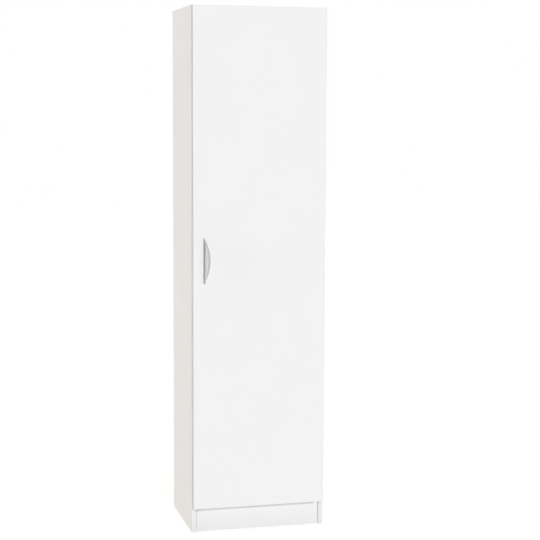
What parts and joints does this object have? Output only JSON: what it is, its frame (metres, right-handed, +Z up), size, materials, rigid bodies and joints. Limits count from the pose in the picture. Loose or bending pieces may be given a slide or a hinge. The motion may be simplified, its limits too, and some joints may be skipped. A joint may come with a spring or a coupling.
{
  "type": "broom cupboard",
  "caption": "Tall, narrow white cupboard on side panels and a recessed kickboard, with a full-height hinged door, a half-moon cup handle and a fixed shelf above the broom space.",
  "frame": {"origin": "middle of the footprint on the floor, halfway between the handle's front and the rear edges", "axes": "+Z up, -Y towards the front where the door is, +X to the right seen from the front"},
  "size_m": [0.47, 0.388, 1.8],
  "materials": {
    "white_board": "satin",
    "white_edging": "satin",
    "hardboard": "matte",
    "white_plastic": "satin",
    "clear_bumper": "gloss",
    "beech": "matte",
    "handle_grey": "satin",
    "zinc_plated_steel": "satin",
    "zinc_casting": "matte",
    "nickel_plated_steel": "polished"
  },
  "bodies": {
    "carcass": {"left_side_panel": "white_board", "right_side_panel": "white_board", "left_side_edging": "white_edging", "right_side_edging": "white_edging", "top_panel": "white_board", "top_edging": "white_edging", "bottom_panel": "white_board", "bottom_edging": "white_edging", "fixed_shelf": "white_board", "shelf_edging": "white_edging", "kickboard": "white_board", "back_panel_lower": "hardboard", "back_panel_upper": "hardboard", "back_panel_joiner": "white_plastic", "back_panel_nails": "zinc_plated_steel", "cam_bolts": "zinc_plated_steel", "cam_locks": "zinc_casting", "wood_dowels": "beech", "wall_bracket": "zinc_plated_steel", "wall_bracket_screws": "zinc_plated_steel", "hinge_springs": "zinc_plated_steel", "hinge_plate_screws": "zinc_plated_steel", "hinge_arm_screws": "zinc_plated_steel", "hinge_adjusting_screws": "zinc_plated_steel", "hinge_plate_1": "nickel_plated_steel", "hinge_plate_2": "nickel_plated_steel", "hinge_plate_3": "nickel_plated_steel", "hinge_plate_4": "nickel_plated_steel", "hinge_arm_1": "nickel_plated_steel", "hinge_arm_2": "nickel_plated_steel", "hinge_arm_3": "nickel_plated_steel", "hinge_arm_4": "nickel_plated_steel"},
    "door": {"door_panel": "white_board", "door_edging": "white_edging", "door_bumpers": "clear_bumper", "handle": "handle_grey", "handle_screws": "zinc_plated_steel", "hinge_pins": "zinc_plated_steel", "hinge_cup_screws": "zinc_plated_steel", "hinge_cup_1": "nickel_plated_steel", "hinge_cup_2": "nickel_plated_steel", "hinge_cup_3": "nickel_plated_steel", "hinge_cup_4": "nickel_plated_steel"}
  },
  "joints": [
    {"name": "door_swing", "type": "hinge", "parent": "carcass", "child": "door", "pos_m": [0.2249, -0.1573, 0.94225], "axis": [0, 0, 1], "range_deg": [0, 95], "stiffness_Nm_per_rad": 0.2, "springref_deg": -20.05}
  ]
}
